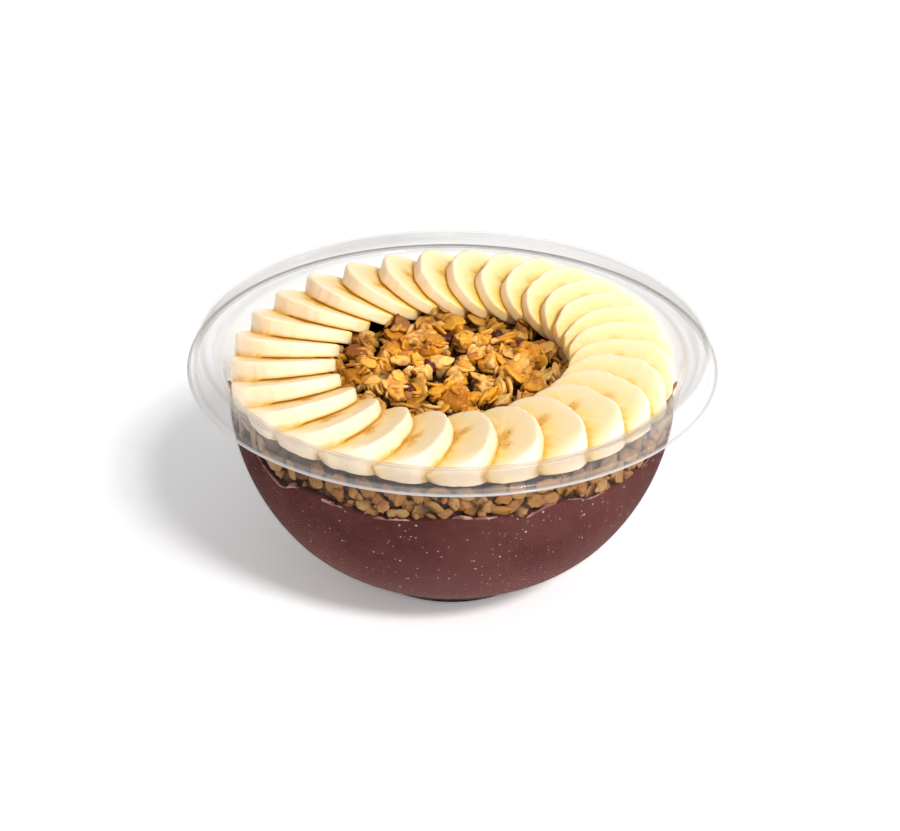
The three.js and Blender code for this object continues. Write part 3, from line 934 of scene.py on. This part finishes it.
# %% Finish of the dark core
SHADE_DEEP = colour(0.03, 0.010, 0.003)
MURK_DARK = colour(0.06, 0.028, 0.018)  # between the pieces at the wall
MURK_PALE = colour(0.22, 0.13, 0.085)
finish = Finish("granola_shade")
place = finish.place()
near_wall = finish.painted("at_wall")
patches = finish.noise(260, place, detail=3).between(0.35, 0.65)
murk = finish.blend(patches, MURK_DARK, MURK_PALE)
shade_colour = finish.blend(near_wall, SHADE_DEEP, murk)
granola_shade = finish.show_plain(Base_Color=shade_colour, Roughness=0.7, Specular_IOR_Level=0.1)

# %% How high the granola lies, in the heap and at the wall
HEAP_TOP = 64.2
HEAP_FALL = 2.5
HEAP_RADIUS = 33.5
BED_LEVEL = 60
WALL_LEVEL = 61.6  # top of the granola at the wall, under the ends of the slices
WALL_FROM = 52
WALL_FULL = 58


def heap_top(radius):
    return max(HEAP_TOP - HEAP_FALL * (radius / HEAP_RADIUS) ** 2, BED_LEVEL)


def at_wall(point):
    return smoothstep(math.hypot(point[0], point[1]), WALL_FROM, WALL_FULL)


print("top of the heap:", heap_top(0), "mm")

# %% The dark core that the pieces lie on
CORE_SINK = 1.0
CORE_DIP = 1.4
CORE_DIP_FROM = 27
CORE_RISE_FROM = 44
CORE_WALL_GAP = 2.2
CORE_LUMPS = ((0.35, 0.9), (0.9, 0.5))  # fineness and height in mm
CORE_LUMP_MOST = 0.4
CORE_RADII = (6, 12, 18, 24, 28, 31, 34, 38, 44, 50, 56, 61, 64.5)
CORE_SIDES = (58.5, 56, ACAI_LEVEL - 3)  # heights of the rings down along the wall
CORE_SEGMENTS = 96
points = [Vector((0, 0, heap_top(0) - CORE_SINK))]
angles = [TURN * k / CORE_SEGMENTS for k in range(CORE_SEGMENTS)]
for radius in CORE_RADII:
    sink = CORE_SINK + (CORE_DIP if radius > CORE_DIP_FROM else 0)
    level = heap_top(radius) - sink
    level += (WALL_LEVEL - level) * smoothstep(radius, CORE_RISE_FROM, WALL_FULL)
    for angle in angles:
        spot = polar(radius, angle, 0)
        points.append(spot + UP * (level + min(bumps(spot, CORE_LUMPS), CORE_LUMP_MOST)))
for level in CORE_SIDES:
    points += [polar(inner_wall(level) - CORE_WALL_GAP, angle, level) for angle in angles]
points.append(Vector((0, 0, CORE_SIDES[-1])))
faces = ring_faces(len(CORE_RADII) + len(CORE_SIDES), CORE_SEGMENTS, downwards=True)
core = piece("granola_core", points, faces, granola_shade, replaces=["granola"])
paint(core, "at_wall", [at_wall(p) for p in points])

# %% Draw sizes for the granola
draw = random.Random(31)


def drawn(ranges):
    return [draw.uniform(low, high) for low, high in ranges]


# %% Shape of an oat flake
FLAKE_SIDES = 14
FLAKE_RINGS = ((0.5, 0.95), (0.88, 0.85))  # reach and thickness, as shares
FLAKE_MIDDLE = 0.28  # height in the groove, as a share of the thickness
FLAKE_CURL = (-0.03, 0.05)
FLAKE_CUP = (-0.02, 0.06)
FLAKE_FRAY = (0.82, 1.1)
GROOVE_DEPTH = 0.45
GROOVE_WIDTH = 0.16


def flake_shape(length, width, thickness):
    """An oval flake with a groove, a curl and a frayed edge."""
    curl = draw.uniform(*FLAKE_CURL)
    cup = draw.uniform(*FLAKE_CUP)
    edge = []
    for i in range(FLAKE_SIDES):
        turn = TURN * i / FLAKE_SIDES
        fray = draw.uniform(*FLAKE_FRAY)
        edge.append((length / 2 * math.cos(turn) * fray, width / 2 * math.sin(turn) * fray))
    points = []
    for side in (1, -1):
        points.append(Vector((0, 0, side * thickness * FLAKE_MIDDLE)))
        for share, high in FLAKE_RINGS:
            for x, y in edge:
                off = y * share / (GROOVE_WIDTH * width)
                groove = 1 - GROOVE_DEPTH * math.exp(-off ** 2)
                points.append(Vector((x * share, y * share, side * thickness / 2 * high * groove)))
    points += [Vector((x, y, 0)) for x, y in edge]
    for p in points:
        p.z += curl * p.x * p.x + cup * p.y * p.y
    faces = []
    half = 1 + len(FLAKE_RINGS) * FLAKE_SIDES
    rim = 2 * half
    for side in (0, 1):
        inner = side * half + 1
        outer = inner + FLAKE_SIDES
        for i in range(FLAKE_SIDES):
            after = (i + 1) % FLAKE_SIDES
            ring = [(inner - 1, inner + i, inner + after)]
            ring.append((inner + i, outer + i, outer + after, inner + after))
            ring.append((outer + i, rim + i, rim + after, outer + after))
            faces += [f if side == 0 else f[::-1] for f in ring]
    return points, faces


# %% Shape of a cluster or a crumb
LUMP_BUMPS = ((1.7, 1), (4.1, 0.5), (9.3, 0.2))  # fineness, and share of the roughness
LUMP_BREAKS = 7
BREAK_REACH = (0.5, 0.85)
BREAK_FLATNESS = 0.9
NOISE_FIELD = (0, 90)  # each lump takes its bumps from another place in the noise


def lump_shape(size, detail, rough):
    """A lumpy baked bit: a ball pushed in and out by noise and cut by a few flat breaks."""
    ball = bmesh.new()
    bmesh.ops.create_icosphere(ball, subdivisions=detail, radius=1)
    offset_by = Vector(drawn([NOISE_FIELD] * 3))
    breaks = []
    for _ in range(LUMP_BREAKS):
        direction = Vector([draw.gauss(0, 1) for _ in range(3)]).normalized()
        breaks.append((direction, draw.uniform(*BREAK_REACH)))
    points = []
    for vert in ball.verts:
        p = vert.co.copy()
        for fineness, share in LUMP_BUMPS:
            p *= 1 + rough * share * noise.noise(vert.co * fineness + offset_by)
        for direction, reach in breaks:
            beyond = p.dot(direction) - reach
            if beyond > 0:
                p -= direction * beyond * BREAK_FLATNESS
        points.append(Vector((p.x * size[0] / 2, p.y * size[1] / 2, p.z * size[2] / 2)))
    faces = [tuple(v.index for v in face.verts) for face in ball.faces]
    ball.free()
    return points, faces


# %% How dark it is between the pieces
HEAP_SHADE = 0.90
HEAP_SHADE_HEIGHTS = (-1.0, 3.0)  # from the heap's surface, in mm
SLICE_SHADE = 0.45
SLICE_SHADE_RADII = (20, 34)
WALL_SHADE = 0.38
WALL_SHADE_MORE = 0.55
WALL_SHADE_DEPTHS = (0.5, 3.0)


def shade_in_heap(point):
    """Dark low down between the pieces, none on the tops of the pieces."""
    radius = math.hypot(point.x, point.y)
    low_down = 1 - smoothstep(point.z - heap_top(radius), *HEAP_SHADE_HEIGHTS)
    under_slices = smoothstep(radius, *SLICE_SHADE_RADII)
    return HEAP_SHADE * low_down + SLICE_SHADE * under_slices * (1 - low_down)


def shade_at_wall(point):
    """Dim behind the wall, and darker the further in a point is."""
    depth = inner_wall(point.z) - math.hypot(point.x, point.y)
    return WALL_SHADE + WALL_SHADE_MORE * smoothstep(depth, *WALL_SHADE_DEPTHS)


# %% Gather placed shapes into one mesh, held inside the wall
WALL_SPARE = 0.15
WALL_CEILING = 65.3  # the ends of the slices press the granola down to here


class Heap:
    def __init__(self, name, material):
        self.name = name
        self.material = material
        self.points, self.faces, self.tones, self.shades = [], [], [], []

    def add(self, shape, spin, centre, tone, shade=shade_in_heap):
        points, faces = shape
        first = len(self.points)
        for p in points:
            q = spin @ p + centre
            reach = math.hypot(q.x, q.y)
            if reach > WALL_FROM:
                q.z = min(q.z, WALL_CEILING)
            limit = inner_wall(q.z) - WALL_SPARE
            if reach > limit:
                q.x *= limit / reach
                q.y *= limit / reach
            self.points.append(q)
            self.shades.append(shade(q))
        self.faces += [tuple(first + v for v in face) for face in faces]
        self.tones += [tone] * len(points)

    def make(self):
        obj = piece(self.name, self.points, self.faces, self.material)
        paint(obj, "tone", self.tones)
        paint(obj, "shade", self.shades)
        paint(obj, "at_wall", [FILM_SHARE * at_wall(p) for p in self.points])


# %% Amounts and sizes in the heap, in mm
CLUSTERS = 64
CLUSTER_LIFT = (-0.8, 2.2)
CLUSTER_SIZE = (6.5, 11)
CLUSTER_SHARES = ((0.7, 0.95), (0.6, 0.8))  # width and thickness, as shares of the size
BAKED_ON = 0.36  # where flakes sit on a cluster, as a share of its size
STACKS = 34
STACK_LIFT = (0, 2.2)
STACK_STEP = 1.25
LOOSE = ((90, (-1.0, 0.6), 0.5), (60, (0, 3.0), 1.3))  # how many flakes, their lift and tilt
CRUMBS = 120
CRUMB_LIFT = (-0.4, 2.6)
FRUIT = ((-12.3, -13.1), (13.5, 23.0), (-1.5, 20.6), (-6.8, 0.2), (21, 17.7))
FRUIT_LIFT = 2.4

BAKED_FLAKE = ((5, 7), (3.4, 4.8), (0.9, 1.3))  # length, width and thickness
STACKED_FLAKE = ((6.5, 9), (3.8, 5.4), (0.9, 1.4))
LOOSE_FLAKE = ((6.5, 9), (4.5, 6.2), (0.9, 1.5))
WALL_FLAKE = ((5.5, 8), (4, 5.6), (0.9, 1.5))
WALL_LUMP = ((4, 6.5), (3.5, 5.2), (2.5, 4))
CRUMB = ((2.2, 5.2),) * 3
FRUIT_BIT = ((3.4, 5.6),) * 3
WALL_CRUMB = ((1.6, 3.4),) * 3

# %% Draw tones, tilts and places
GOLDEN_ANGLE = math.pi * (3 - math.sqrt(5))
HEAP_REACH = 40
EDGE_LEVEL = 62.4  # the heap runs on at this height under the inner tips of the slices


def near_tone(tone):
    return min(max(tone + draw.uniform(-0.25, 0.25), 0), 1)


def tilted(most):
    """A random turn about the vertical after a tilt of at most so many radians."""
    tilt = draw.uniform(0, most)
    lean = Matrix.Rotation(tilt, 3, Vector((draw.gauss(0, 1), draw.gauss(0, 1), 0.01)))
    return lean @ Matrix.Rotation(draw.uniform(0, TURN), 3, "Z")


def against_wall(angle, most):
    """Flat on the wall at an angle round the bowl, turned and tilted a little."""
    face_out = Matrix.Rotation(angle, 3, "Z") @ Matrix.Rotation(math.pi / 2, 3, "Y")
    return face_out @ tilted(most)


def spread(count, reach, jitter):
    """Spots over the heap, evenly spread like the seeds of a sunflower."""
    for i in range(count):
        radius = abs(reach * math.sqrt((i + 0.5) / count) + draw.uniform(-jitter, jitter))
        angle = i * GOLDEN_ANGLE + draw.uniform(-0.2, 0.2)
        yield polar(radius, angle, max(heap_top(radius), EDGE_LEVEL))


# %% Clusters and stacks of flakes
HEAPS = ("oat_flakes", "oat_clusters", "granola_crumbs", "dried_fruit")
flakes, clusters, crumbs, fruit = [Heap(name, look) for name, look in zip(HEAPS, toasted)]


def cluster(centre, size, tone):
    """A lump with flakes baked on to it."""
    width, thickness = drawn(CLUSTER_SHARES)
    lump = lump_shape((size, size * width, size * thickness), 4, 0.5)
    clusters.add(lump, tilted(1.5), centre, tone)
    for _ in range(draw.randint(1, 3)):
        away = Vector((draw.gauss(0, 1), draw.gauss(0, 1), abs(draw.gauss(0, 1)))).normalized()
        lay = away.to_track_quat("Z", "Y").to_matrix() @ tilted(0.5)
        flake = flake_shape(*drawn(BAKED_FLAKE))
        flakes.add(flake, lay, centre + away * size * BAKED_ON, near_tone(tone))


def stack(centre, tone):
    """Flakes baked together like a hand of cards."""
    spin = tilted(1.5)
    count = draw.randint(3, 6)
    for i in range(count):
        shift = Vector((draw.uniform(-1, 1), draw.uniform(-1, 1), (i - count / 2) * STACK_STEP))
        fan = Matrix.Rotation(draw.uniform(-0.8, 0.8), 3, "Z")
        fan = fan @ Matrix.Rotation(draw.uniform(-0.25, 0.25), 3, "X")
        flake = flake_shape(*drawn(STACKED_FLAKE))
        flakes.add(flake, spin @ fan, centre + spin @ shift, near_tone(tone))


# %% Lay the granola heap in the ring
for centre in spread(CLUSTERS, HEAP_REACH - 1, 2):
    spot = centre + UP * draw.uniform(*CLUSTER_LIFT)
    cluster(spot, draw.uniform(*CLUSTER_SIZE), draw.uniform(0, 1))
for centre in spread(STACKS, HEAP_REACH - 1, 2.5):
    stack(centre + UP * draw.uniform(*STACK_LIFT), draw.uniform(0, 0.9))
for count, lift, most in LOOSE:
    for centre in spread(count, HEAP_REACH, 2):
        size = drawn(LOOSE_FLAKE)
        spot = centre + UP * draw.uniform(*lift)
        flakes.add(flake_shape(*size), tilted(most), spot, draw.uniform(0, 1))
for centre in spread(CRUMBS, HEAP_REACH, 2):
    size = drawn(CRUMB)
    spot = centre + UP * draw.uniform(*CRUMB_LIFT)
    crumbs.add(lump_shape(size, 3, 0.55), tilted(3), spot, draw.uniform(0, 1))
for x, y in FRUIT:
    spot = Vector((x, y, heap_top(math.hypot(x, y)) + FRUIT_LIFT))
    fruit.add(lump_shape(drawn(FRUIT_BIT), 3, 0.5), tilted(3), spot, draw.uniform(0, 1))
print("heap:", len(flakes.faces), len(clusters.faces), len(crumbs.faces), "faces")

# %% [markdown]
# Round the wall the same granola shows from its side, squeezed between the acai and the
# slices. Pieces are pressed flat on the plastic there, and at the left, where the acai
# runs up the wall, there are few.

# %% Lay the granola along the wall
WALL_PIECES = 230
WALL_DEPTH = (0.9, 2.6)
WALL_CRUMBS = 150
WALL_CRUMB_HEIGHT = (0.6, 8)
WALL_CRUMB_DEPTH = (0.6, 2.2)
WALL_ROWS = (1.4, 6.2, 3.8, 8.8)
WALL_TOP = 62.7
BARE_WALL = (math.radians(-138), math.radians(17))  # azimuth and half width
BARE_SHARE = 0.6


def left_out(angle):
    return draw.random() < BARE_SHARE and abs(wrapped(angle - BARE_WALL[0])) < BARE_WALL[1]


for i in range(WALL_PIECES):
    angle = TURN * (i + draw.uniform(-0.4, 0.4)) / WALL_PIECES
    level = acai_edge(angle) + WALL_ROWS[i % len(WALL_ROWS)] + draw.uniform(-0.8, 0.8)
    level = min(level, WALL_TOP)
    centre = polar(inner_wall(level) - draw.uniform(*WALL_DEPTH), angle, level)
    spin = against_wall(angle, 0.7)
    if left_out(angle):
        continue
    if draw.random() < 0.5:
        flake = flake_shape(*drawn(WALL_FLAKE))
        flakes.add(flake, spin, centre, draw.uniform(0, 0.8), shade_at_wall)
    else:
        lump = lump_shape(drawn(WALL_LUMP), 3, 0.5)
        clusters.add(lump, spin, centre, draw.uniform(0, 0.9), shade_at_wall)
for i in range(WALL_CRUMBS):
    angle = TURN * (i + draw.uniform(-0.5, 0.5)) / WALL_CRUMBS
    level = min(acai_edge(angle) + draw.uniform(*WALL_CRUMB_HEIGHT), WALL_TOP)
    centre = polar(inner_wall(level) - draw.uniform(*WALL_CRUMB_DEPTH), angle, level)
    size = drawn(WALL_CRUMB)
    if left_out(angle):
        continue
    crumb = lump_shape(size, 2, 0.5)
    crumbs.add(crumb, tilted(3), centre, draw.uniform(0, 1), shade_at_wall)
for heap in (flakes, clusters, crumbs, fruit):
    heap.make()
